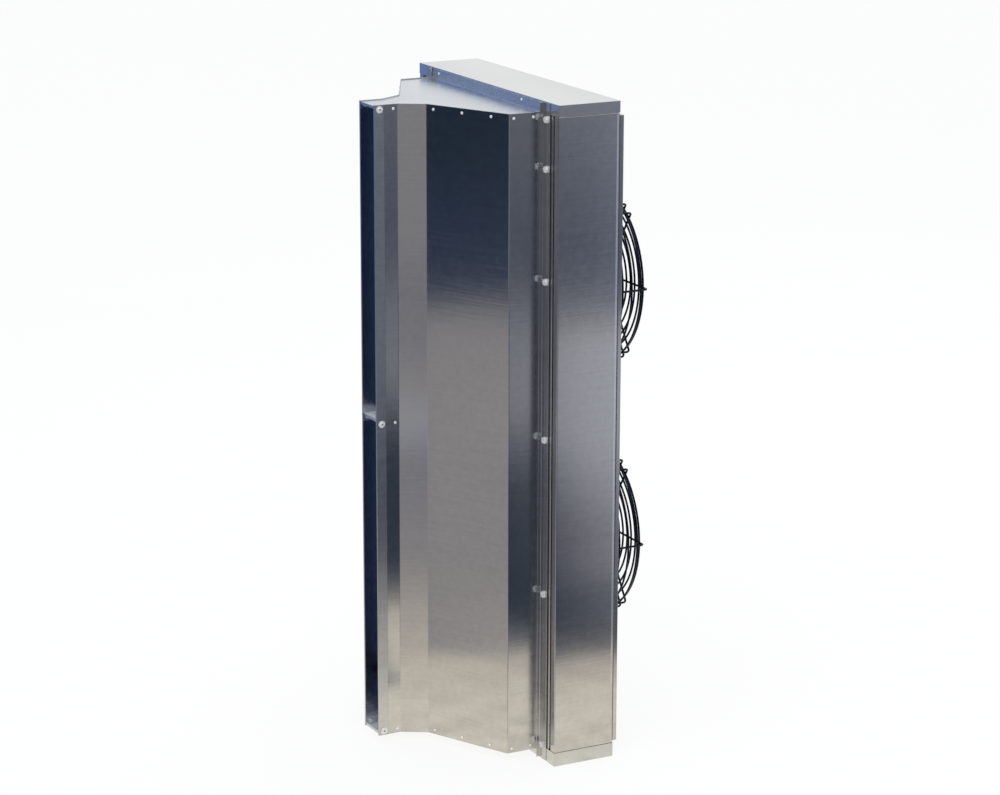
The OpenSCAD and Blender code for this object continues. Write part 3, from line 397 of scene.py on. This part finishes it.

# Fasteners: bright plated bolts, washers, nuts and pan screws, and the motors' bearings.
# Turned and rolled steel, with painted shade from an occlusion node in the sockets and round the heads, so the
# crowns stay brightest.


def bright_steel():
    """Turned zinc plated steel: fine noise in shade and gloss, and painted shade in the sockets and round the
    heads where an occlusion node finds them hollow.
    """
    material, tree, shader = new_material("bright_steel")
    add, link = tree.nodes.new, tree.links.new
    place = add("ShaderNodeTexCoord")
    marks = add("ShaderNodeTexNoise")
    marks.inputs["Scale"].default_value = 260.0
    marks.inputs["Detail"].default_value = 4.0
    link(place.outputs["Object"], marks.inputs["Vector"])
    shades = add("ShaderNodeMix")
    shades.data_type = "RGBA"
    shades.inputs["A"].default_value = linear(238, 239, 242)
    shades.inputs["B"].default_value = linear(252, 252, 253)
    link(marks.outputs["Fac"], shades.inputs["Factor"])
    # Painted shade: the occlusion node darkens the colour to near black in the hollows.
    hollows = add("ShaderNodeAmbientOcclusion")
    hollows.samples = 8
    hollows.inputs["Distance"].default_value = 0.004
    painted_shade_amount = add("ShaderNodeMapRange")
    painted_shade_amount.inputs["From Min"].default_value = 0.35
    painted_shade_amount.inputs["From Max"].default_value = 0.75
    link(hollows.outputs["AO"], painted_shade_amount.inputs["Value"])
    painted_shade_mix = add("ShaderNodeMix")
    painted_shade_mix.data_type = "RGBA"
    painted_shade_mix.inputs["A"].default_value = linear(26, 27, 32)
    link(painted_shade_amount.outputs["Result"], painted_shade_mix.inputs["Factor"])
    link(shades.outputs["Result"], painted_shade_mix.inputs["B"])
    link(painted_shade_mix.outputs["Result"], shader.inputs["Base Color"])
    gloss = add("ShaderNodeMapRange")
    gloss.inputs["To Min"].default_value = 0.16
    gloss.inputs["To Max"].default_value = 0.28
    link(marks.outputs["Fac"], gloss.inputs["Value"])
    link(gloss.outputs["Result"], shader.inputs["Roughness"])
    shader.inputs["Metallic"].default_value = 0.45
    return material


dress(bright_steel(), "flange_bolts", "flange_washers", "flange_nuts", "nozzle_screws", "lip_screws",
      "lip_nuts", "flange_screws", "rear_panel_screws", "motor_bolts", "guard_bolts",
      "terminal_box_screws", "upper_motor_bearings", "lower_motor_bearings")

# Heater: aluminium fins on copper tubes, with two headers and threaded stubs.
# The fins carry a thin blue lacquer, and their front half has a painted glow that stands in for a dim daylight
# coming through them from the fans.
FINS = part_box("heater_fin_block")
FIN_FRONT = FINS[0][1]
FIN_MIDDLE = (FINS[0][1] + FINS[1][1]) / 2


def lacquered_fin_painted_glow():
    """Lacquer on pressed fins: noise drawn out along the fins shades it and gives the bump. The
    front half has a painted glow, a faint emission that stands in for daylight behind it."""
    material, tree, shader = new_material("lacquered_fin_painted_glow")
    add, link = tree.nodes.new, tree.links.new
    place = add("ShaderNodeTexCoord")
    stretch = add("ShaderNodeMapping")
    stretch.inputs["Scale"].default_value = (220.0, 220.0, 12.0)
    link(place.outputs["Object"], stretch.inputs["Vector"])
    streaks = add("ShaderNodeTexNoise")
    streaks.inputs["Scale"].default_value = 1.0
    streaks.inputs["Detail"].default_value = 3.0
    link(stretch.outputs["Vector"], streaks.inputs["Vector"])
    shades = add("ShaderNodeMix")
    shades.data_type = "RGBA"
    shades.inputs["A"].default_value = linear(118, 132, 150)
    shades.inputs["B"].default_value = linear(158, 168, 180)
    link(streaks.outputs["Fac"], shades.inputs["Factor"])
    link(shades.outputs["Result"], shader.inputs["Base Color"])
    bumps = add("ShaderNodeBump")
    bumps.inputs["Strength"].default_value = 0.3
    bumps.inputs["Distance"].default_value = 0.0004
    link(streaks.outputs["Fac"], bumps.inputs["Height"])
    link(bumps.outputs["Normal"], shader.inputs["Normal"])
    shader.inputs["Roughness"].default_value = 0.4
    depth = add("ShaderNodeSeparateXYZ")
    link(place.outputs["Object"], depth.inputs["Vector"])
    front_face = add("ShaderNodeMapRange")
    front_face.inputs["From Min"].default_value = FIN_MIDDLE
    front_face.inputs["From Max"].default_value = FIN_FRONT
    link(depth.outputs["Y"], front_face.inputs["Value"])
    # Painted glow: faint blue emission on the front half of the fins, in place of daylight from the fans.
    painted_glow = add("ShaderNodeMix")
    painted_glow.data_type = "RGBA"
    painted_glow.inputs["A"].default_value = linear(0, 0, 0)
    painted_glow.inputs["B"].default_value = linear(50, 70, 108)
    link(front_face.outputs["Result"], painted_glow.inputs["Factor"])
    link(painted_glow.outputs["Result"], shader.inputs["Emission Color"])
    shader.inputs["Emission Strength"].default_value = 1.0
    return material


dress(lacquered_fin_painted_glow(), "heater_fin_block")


def copper_tube():
    """Drawn copper: brown tarnish in soft clouds, duller where it is darker."""
    material, tree, shader = new_material("copper_tube")
    add, link = tree.nodes.new, tree.links.new
    place = add("ShaderNodeTexCoord")
    tarnish = add("ShaderNodeTexNoise")
    tarnish.inputs["Scale"].default_value = 28.0
    tarnish.inputs["Detail"].default_value = 5.0
    link(place.outputs["Object"], tarnish.inputs["Vector"])
    shades = add("ShaderNodeValToRGB")
    shades.color_ramp.elements[0].position = 0.35
    shades.color_ramp.elements[0].color = linear(128, 78, 52)
    shades.color_ramp.elements[1].position = 0.62
    shades.color_ramp.elements[1].color = linear(208, 140, 104)
    link(tarnish.outputs["Fac"], shades.inputs["Fac"])
    link(shades.outputs["Color"], shader.inputs["Base Color"])
    gloss = add("ShaderNodeMapRange")
    gloss.inputs["To Min"].default_value = 0.45
    gloss.inputs["To Max"].default_value = 0.22
    link(tarnish.outputs["Fac"], gloss.inputs["Value"])
    link(gloss.outputs["Result"], shader.inputs["Roughness"])
    shader.inputs["Metallic"].default_value = 1.0
    return material


dress(copper_tube(), "heater_return_bends", "supply_header", "return_header")

# Fan guards, motors and blades: steel wire and pressings under black coatings.
# The wire is dip coated and glossy, the motor and blades are powder coated.


def coat_material(name, colour, worn, roughness, peel, size):
    """Coated metal: orange peel bump from noise and a faint dusty shade over it."""
    material, tree, shader = new_material(name)
    add, link = tree.nodes.new, tree.links.new
    place = add("ShaderNodeTexCoord")
    skin = add("ShaderNodeTexNoise")
    skin.inputs["Scale"].default_value = 1.0 / size
    skin.inputs["Detail"].default_value = 2.0
    link(place.outputs["Object"], skin.inputs["Vector"])
    dust = add("ShaderNodeTexNoise")
    dust.inputs["Scale"].default_value = 14.0
    dust.inputs["Detail"].default_value = 5.0
    link(place.outputs["Object"], dust.inputs["Vector"])
    shades = add("ShaderNodeMix")
    shades.data_type = "RGBA"
    shades.inputs["A"].default_value = colour
    shades.inputs["B"].default_value = worn
    link(dust.outputs["Fac"], shades.inputs["Factor"])
    link(shades.outputs["Result"], shader.inputs["Base Color"])
    gloss = add("ShaderNodeMapRange")
    gloss.inputs["To Min"].default_value = roughness * 0.8
    gloss.inputs["To Max"].default_value = roughness * 1.3
    link(dust.outputs["Fac"], gloss.inputs["Value"])
    link(gloss.outputs["Result"], shader.inputs["Roughness"])
    bumps = add("ShaderNodeBump")
    bumps.inputs["Strength"].default_value = peel
    bumps.inputs["Distance"].default_value = 0.0003
    link(skin.outputs["Fac"], bumps.inputs["Height"])
    link(bumps.outputs["Normal"], shader.inputs["Normal"])
    return material


guard_coat = coat_material("guard_coat", linear(3, 4, 8), linear(8, 10, 18), 0.14, 0.10, 0.004)
guard_shader = next(n for n in guard_coat.node_tree.nodes if n.type == "BSDF_PRINCIPLED")
guard_shader.inputs["Specular Tint"].default_value = linear(140, 165, 220)
motor_coat = coat_material("motor_coat", linear(24, 25, 28), linear(40, 41, 44), 0.42, 0.35, 0.002)
blade_coat = coat_material("blade_coat", linear(26, 27, 30), linear(48, 49, 52), 0.38, 0.25, 0.002)
dress(guard_coat, "upper_guard_face", "lower_guard_face", "upper_guard_rings", "lower_guard_rings",
      "upper_guard_legs", "lower_guard_legs")
dress(motor_coat, "upper_motor_stator", "lower_motor_stator", "upper_rotor", "lower_rotor")
dress(blade_coat, "upper_blades", "lower_blades")

# Terminal box between the fans, with its lid and the cable glands.
# The box is light grey powder coat, the glands are black plastic.
box_coat = coat_material("box_coat", linear(176, 178, 180), linear(192, 193, 194), 0.45, 0.35, 0.0015)
gland_plastic = coat_material("gland_plastic", linear(24, 24, 26), linear(36, 36, 38), 0.5, 0.2, 0.001)
dress(box_coat, "terminal_box", "terminal_box_lid")
dress(gland_plastic, "cable_glands")

# Floor: a plain pale studio floor, white to the camera but for the object's shadow.
# The metal sees the floor card below instead of it.
FLOOR = linear(250, 250, 250)
FLOOR_GLOW = 0.86
FLOOR_REACH = 40.0
floor_mesh = bpy.data.meshes.new("floor")
floor_mesh.from_pydata([(-FLOOR_REACH, -FLOOR_REACH, 0), (FLOOR_REACH, -FLOOR_REACH, 0),
                        (FLOOR_REACH, FLOOR_REACH, 0), (-FLOOR_REACH, FLOOR_REACH, 0)], [], [(0, 1, 2, 3)])
floor = bpy.data.objects.new("floor", floor_mesh)
bpy.context.scene.collection.objects.link(floor)
floor_material, floor_tree, floor_shader = new_material("floor_paint")
floor_shader.inputs["Base Color"].default_value = FLOOR
floor_shader.inputs["Roughness"].default_value = 0.9
floor_glow = floor_tree.nodes.new("ShaderNodeEmission")
floor_rays = floor_tree.nodes.new("ShaderNodeLightPath")
floor_share = floor_tree.nodes.new("ShaderNodeMath")
floor_share.operation = "MULTIPLY"
floor_share.inputs[1].default_value = FLOOR_GLOW
floor_mix = floor_tree.nodes.new("ShaderNodeMixShader")
floor_tree.links.new(floor_rays.outputs["Is Camera Ray"], floor_share.inputs[0])
floor_tree.links.new(floor_share.outputs[0], floor_mix.inputs["Fac"])
floor_tree.links.new(floor_shader.outputs["BSDF"], floor_mix.inputs[1])
floor_tree.links.new(floor_glow.outputs["Emission"], floor_mix.inputs[2])
floor_tree.links.new(floor_mix.outputs["Shader"],
                     next(n for n in floor_tree.nodes if n.type == "OUTPUT_MATERIAL").inputs["Surface"])
floor_mesh.materials.append(floor_material)
floor.visible_glossy = False

# Painted reflections: a round floor card and a standing ring that glow and that only the metal sees, painted as
# a hall round the object.
# Warm and sunlit near by, grey further out, with a dark bench to one side and blue walls: painted light and
# shade that the metal reflects.
# Its paints are display values; the card lies just under the floor.
CARD_BEARINGS = 144
CARD_LEVEL = -0.002
RING_RADIUS = 6.0
RING_HEIGHT = 5.0
WALL_STEPS = (0.0, 0.12, 0.32, 0.95, 3.2)
SUNLIT = (238, 230, 212)
CREAM = (224, 215, 196)
SAND = (203, 194, 181)
STONE = (163, 159, 157)
SLATE = (141, 140, 146)
WARM_SHADE = (126, 123, 120)
COOL_SHADE = (120, 124, 134)
ASH = (105, 108, 115)
STEEL = (86, 92, 106)
DUSK = (72, 78, 90)
BENCH = (55, 63, 75)
INK = (28, 40, 54)
PEARL = (186, 187, 192)
PALE_STONE = (178, 174, 168)
HAZE = (167, 167, 173)
MIST = (200, 207, 222)
SKY = (214, 220, 232)
LAMPLIGHT = (232, 234, 236)
WHITEWASH = (258, 258, 255)
BLUE_DOOR = (100, 121, 166)
BLUE_WALL = (108, 136, 189)
NAVY = (47, 59, 81)
BLUE_SHADE = (60, 84, 130)
REFLECTION_FLOOR_PAINT = {
    # bearing: (distance from the axis in metres, colour) from near to far
    -100: [(0.5, SUNLIT), (1.1, CREAM), (1.2, STONE), (6.0, STONE)],
    -35: [(0.7, SUNLIT), (1.5, SAND), (2.1, STONE), (3.5, SLATE), (4.0, PEARL), (4.6, STONE), (6.0, SLATE)],
    -28: [(0.55, SUNLIT), (0.68, SLATE), (0.9, WARM_SHADE), (1.5, ASH), (2.1, DUSK), (6.0, DUSK)],
    -18: [(0.8, SUNLIT), (0.95, STONE), (1.3, ASH), (1.8, DUSK), (6.0, DUSK)],
    -12: [(1.05, SUNLIT), (1.35, SAND), (1.75, DUSK), (3.3, BENCH), (4.4, COOL_SHADE), (6.0, ASH)],
    12: [(0.95, SUNLIT), (1.27, SAND), (1.4, ASH), (1.7, BENCH), (3.3, BENCH), (4.4, SLATE), (6.0, COOL_SHADE)],
    30: [(1.05, SUNLIT), (1.34, SAND), (1.46, WARM_SHADE), (1.6, ASH), (1.95, ASH), (2.3, SLATE), (2.8, SLATE),
         (3.3, HAZE), (3.9, PEARL), (5.55, PEARL), (5.65, LAMPLIGHT), (5.75, PEARL), (6.0, STONE)],
    65: [(0.7, SUNLIT), (2.0, SKY), (6.0, SKY)],
    110: [(0.7, SUNLIT), (3.0, PALE_STONE), (6.0, COOL_SHADE)],
    155: [(0.7, SUNLIT), (3.0, PALE_STONE), (6.0, STONE)],
    207: [(0.7, SUNLIT), (2.0, STONE), (3.0, SLATE), (6.0, BLUE_DOOR)],
}
REFLECTION_WALL_PAINT = {
    # bearing: colours of the wall at the four upper steps of its height
    -100: (NAVY, NAVY, INK, BLUE_SHADE),
    -35: (SLATE, STONE, STONE, PEARL),
    -28: (STEEL, STEEL, ASH, HAZE),
    -18: (STEEL, STEEL, ASH, HAZE),
    -12: (ASH, ASH, COOL_SHADE, PEARL),
    12: (ASH, STEEL, ASH, PEARL),
    30: (COOL_SHADE, STEEL, COOL_SHADE, MIST),
    65: (MIST, MIST, MIST, LAMPLIGHT),
    110: (COOL_SHADE, COOL_SHADE, COOL_SHADE, LAMPLIGHT),
    155: (STONE, STONE, PEARL, WHITEWASH),
    207: (BLUE_DOOR, BLUE_DOOR, BLUE_WALL, BLUE_WALL),
}


def card_colours(distance, table):
    """The table's bearings in order and, for each, its three display values at every distance."""
    keys = sorted(table)
    profiles = np.array([[np.interp(distance, [p[0] for p in table[k]], [p[1][c] for p in table[k]])
                          for c in range(3)] for k in keys])
    return keys, profiles


def round_blend(keys, values, bearings):
    """Values at the keys' bearings, blended round the circle for every bearing: (keys, ...) gives
    (bearings, ...)."""
    wrapped = keys + [keys[0] + 360]
    stacked = np.concatenate([values, values[:1]])
    turned = (bearings - wrapped[0]) % 360 + wrapped[0]
    upper = np.clip(np.searchsorted(wrapped, turned, side="right"), 1, len(wrapped) - 1)
    lower = upper - 1
    share = (turned - np.array(wrapped)[lower]) / (np.array(wrapped)[upper] - np.array(wrapped)[lower])
    share = share.reshape((-1,) + (1,) * (values.ndim - 1))
    return stacked[lower] * (1 - share) + stacked[upper] * share


def card_mesh(name, radii, heights, colours):
    """Closed rings of points, a radius and a height per ring and one point per bearing, with
    display colours (rings, bearings, 3) kept on the points."""
    angle = np.radians(np.arange(CARD_BEARINGS) * 360.0 / CARD_BEARINGS)
    rows = len(radii)
    x = radii[:, None] * np.cos(angle)
    y = radii[:, None] * np.sin(angle)
    z = np.repeat(heights[:, None], CARD_BEARINGS, 1)
    points = np.stack([x, y, z], -1).reshape(-1, 3)
    i, j = np.meshgrid(np.arange(rows - 1), np.arange(CARD_BEARINGS), indexing="ij")
    k = (j + 1) % CARD_BEARINGS
    quads = np.stack([i * CARD_BEARINGS + j, (i + 1) * CARD_BEARINGS + j, (i + 1) * CARD_BEARINGS + k,
                      i * CARD_BEARINGS + k], -1).reshape(-1, 4)
    mesh = bpy.data.meshes.new(name)
    mesh.from_pydata(points.tolist(), [], quads.tolist())
    layer = mesh.color_attributes.new("card_colour", "FLOAT_COLOR", "POINT")
    shown = scene_values(colours.reshape(-1, 3))
    layer.data.foreach_set("color", np.concatenate([shown, np.ones((len(shown), 1))], 1).ravel())
    card = bpy.data.objects.new(name, mesh)
    bpy.context.scene.collection.objects.link(card)
    card.visible_camera = False
    card.visible_diffuse = False
    card.visible_shadow = False
    card.visible_transmission = False
    return card


def card_material(name, contrast):
    """Glowing card painted for the metal to reflect, a painted reflection: the colour of its points, broken up
    by gravel noise.
    """
    material = bpy.data.materials.new(name)
    material.use_nodes = True
    tree = material.node_tree
    tree.nodes.clear()
    output = tree.nodes.new("ShaderNodeOutputMaterial")
    glow = tree.nodes.new("ShaderNodeEmission")
    paint = tree.nodes.new("ShaderNodeAttribute")
    paint.attribute_name = "card_colour"
    place = tree.nodes.new("ShaderNodeTexCoord")
    gravel = tree.nodes.new("ShaderNodeTexNoise")
    gravel.inputs["Scale"].default_value = 7.0
    gravel.inputs["Detail"].default_value = 5.0
    gravel.inputs["Roughness"].default_value = 0.74
    tree.links.new(place.outputs["Object"], gravel.inputs["Vector"])
    shade = tree.nodes.new("ShaderNodeMapRange")
    shade.inputs["From Min"].default_value = 0.25
    shade.inputs["From Max"].default_value = 0.75
    shade.inputs["To Min"].default_value = 1.0 - contrast
    shade.inputs["To Max"].default_value = 1.0 + contrast
    tree.links.new(gravel.outputs["Fac"], shade.inputs["Value"])
    broken = tree.nodes.new("ShaderNodeVectorMath")
    broken.operation = "SCALE"
    tree.links.new(paint.outputs["Color"], broken.inputs[0])
    tree.links.new(shade.outputs["Result"], broken.inputs["Scale"])
    tree.links.new(broken.outputs["Vector"], glow.inputs["Color"])
    tree.links.new(glow.outputs["Emission"], output.inputs["Surface"])
    return material


bearings = np.arange(CARD_BEARINGS) * 360.0 / CARD_BEARINGS
floor_radii = np.linspace(0.02, RING_RADIUS, 160)
card_keys, floor_profiles = card_colours(floor_radii, REFLECTION_FLOOR_PAINT)
floor_colours = round_blend(card_keys, floor_profiles, bearings).transpose(2, 0, 1)
ring_heights = RING_HEIGHT * np.linspace(0.0, 1.0, 40) ** 2
wall_stops = {k: [REFLECTION_FLOOR_PAINT[k][-1][1], *REFLECTION_WALL_PAINT[k]] for k in card_keys}
ring_profiles = np.array([[np.interp(ring_heights, WALL_STEPS, [stop[c] for stop in wall_stops[k]])
                           for c in range(3)] for k in card_keys])
ring_colours = round_blend(card_keys, ring_profiles, bearings).transpose(2, 0, 1)
floor_card = card_mesh("floor_card", floor_radii, np.full_like(floor_radii, CARD_LEVEL), floor_colours)
ring_card = card_mesh("ring_card", np.full_like(ring_heights, RING_RADIUS), ring_heights, ring_colours)
# Both cards glow with the painted reflections; only the metal sees them.
floor_card.data.materials.append(card_material("floor_reflection_paint", 0.26))
ring_card.data.materials.append(card_material("wall_reflection_paint", 0.05))

# World and lamps: white to the camera and to gloss, a plain soft level for the rest.
# Two large lamps give the object its shading and its shadow on the floor.
world = bpy.data.worlds.new("studio")
bpy.context.scene.world = world
world.use_nodes = True
world_tree = world.node_tree
world_tree.nodes.clear()
world_out = world_tree.nodes.new("ShaderNodeOutputWorld")
seen = world_tree.nodes.new("ShaderNodeBackground")
seen.inputs["Color"].default_value = (1.0, 1.0, 1.0, 1.0)
seen.inputs["Strength"].default_value = 1.0
fill = world_tree.nodes.new("ShaderNodeBackground")
fill.inputs["Color"].default_value = (0.95, 0.97, 1.0, 1.0)
fill.inputs["Strength"].default_value = 0.85
rays = world_tree.nodes.new("ShaderNodeLightPath")
either = world_tree.nodes.new("ShaderNodeMath")
either.operation = "MAXIMUM"
world_tree.links.new(rays.outputs["Is Camera Ray"], either.inputs[0])
world_tree.links.new(rays.outputs["Is Glossy Ray"], either.inputs[1])
any_of = world_tree.nodes.new("ShaderNodeMath")
any_of.operation = "MAXIMUM"
world_tree.links.new(either.outputs[0], any_of.inputs[0])
world_tree.links.new(rays.outputs["Is Transmission Ray"], any_of.inputs[1])
choose = world_tree.nodes.new("ShaderNodeMixShader")
world_tree.links.new(any_of.outputs[0], choose.inputs["Fac"])
world_tree.links.new(fill.outputs["Background"], choose.inputs[1])
world_tree.links.new(seen.outputs["Background"], choose.inputs[2])
world_tree.links.new(choose.outputs["Shader"], world_out.inputs["Surface"])


def soft_lamp(name, place, target, size, power):
    """Square area lamp at a place, facing a target. Gloss sees the white world behind it instead."""
    data = bpy.data.lights.new(name, "AREA")
    data.shape = "SQUARE"
    data.size = size
    data.energy = power
    lamp = bpy.data.objects.new(name, data)
    aim = (Vector(target) - Vector(place)).to_track_quat("-Z", "Y")
    lamp.matrix_world = Matrix.Translation(place) @ aim.to_matrix().to_4x4()
    lamp.visible_glossy = False
    bpy.context.scene.collection.objects.link(lamp)
    return lamp


soft_lamp("key_lamp", (3.5, -3.5, 6.0), (0.0, 0.0, 1.0), 6.0, 160.0)
soft_lamp("back_lamp", (-2.5, 4.5, 6.0), (0.0, 0.0, 1.0), 5.5, 100.0)

# Camera: solved from the photograph's edges, with no shift and no tilt but its own.
FOCAL = 3081.6
IMAGE_WIDTH = 1000.0
SENSOR = 36.0
AZIMUTH, PITCH, ROLL = (math.radians(a) for a in (62.675, 14.765, 0.147))
CAMERA_PLACE = Vector((8.0638, -4.2184, 3.4247))
ahead = Vector((-math.sin(AZIMUTH) * math.cos(PITCH), math.cos(AZIMUTH) * math.cos(PITCH), -math.sin(PITCH)))
flat_right = ahead.cross(Vector((0, 0, 1))).normalized()
flat_up = flat_right.cross(ahead)
right = flat_right * math.cos(ROLL) + flat_up * math.sin(ROLL)
up = flat_up * math.cos(ROLL) - flat_right * math.sin(ROLL)
camera_data = bpy.data.cameras.new("camera")
camera_data.sensor_width = SENSOR
camera_data.lens = FOCAL * SENSOR / IMAGE_WIDTH
camera_data.clip_end = 100.0
camera = bpy.data.objects.new("camera", camera_data)
camera.matrix_world = Matrix((
    (right.x, up.x, -ahead.x, CAMERA_PLACE.x),
    (right.y, up.y, -ahead.y, CAMERA_PLACE.y),
    (right.z, up.z, -ahead.z, CAMERA_PLACE.z),
    (0, 0, 0, 1)))
bpy.context.scene.collection.objects.link(camera)
bpy.context.scene.camera = camera

bpy.context.scene.view_settings.view_transform = "Standard"
